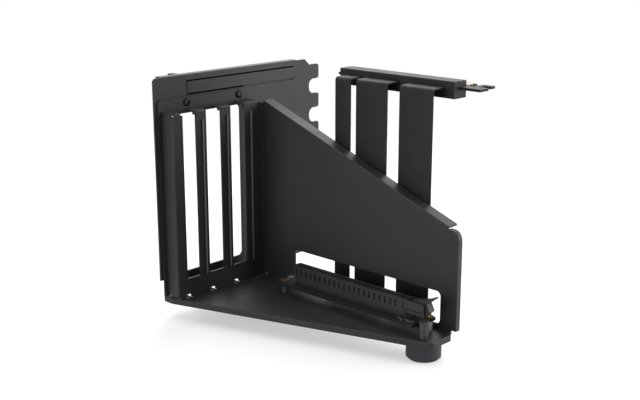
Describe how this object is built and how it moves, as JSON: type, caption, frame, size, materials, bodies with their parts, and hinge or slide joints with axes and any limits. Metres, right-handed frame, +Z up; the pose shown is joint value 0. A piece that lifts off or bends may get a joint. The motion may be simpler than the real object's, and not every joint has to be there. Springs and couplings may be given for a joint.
{
  "type": "graphics card support bracket",
  "caption": "Folded sheet bracket that holds a graphics card upright on a slotted rear plate, with a riser socket, flat ribbons to an edge plug, and a rubber foot.",
  "frame": {"origin": "on the rear plate's outer face, level with the middle slot tab and in line with the card panel's front", "axes": "+X along the card away from the rear plate, +Y away from the card through the panel, +Z up"},
  "size_m": [0.1839, 0.145, 0.1575],
  "materials": {
    "black_sheet": "fine matt black powder coat",
    "black_screw": "blackened steel",
    "steel_post": "plain turned steel",
    "black_post": "black coated steel",
    "foot_rubber": "matt black rubber",
    "black_board": "black solder mask on laminate",
    "copper_plating": "bare plated copper",
    "brass_screw": "brass coloured plating",
    "socket_plastic": "moulded black plastic",
    "ribbon_jacket": "matt black jacket",
    "plug_plastic": "moulded black plastic",
    "gold_plating": "gold plating"
  },
  "bodies": {
    "bracket": {"rear_plate": "black_sheet", "bracket_sheet": "black_sheet", "frame_screws": "black_screw", "rubber_foot": "foot_rubber", "foot_screw": "black_screw", "left_standoff": "steel_post", "right_post": "black_post", "back_standoff": "steel_post", "socket_board": "black_board", "copper_ring": "copper_plating", "steel_ring": "steel_post", "board_screw": "brass_screw", "socket_body": "socket_plastic", "ribbon_one": "ribbon_jacket", "ribbon_two": "ribbon_jacket", "ribbon_three": "ribbon_jacket", "plug_upper_shell": "plug_plastic", "plug_lower_shell": "plug_plastic", "edge_board": "black_board", "gold_fingers": "gold_plating"},
    "latch": {"latch": "socket_plastic"}
  },
  "joints": [
    {"name": "latch_hinge", "type": "hinge", "parent": "bracket", "child": "latch", "pos_m": [0.1584, -0.0125, -0.055], "axis": [0, 1, 0], "range_deg": [0, 30]}
  ]
}
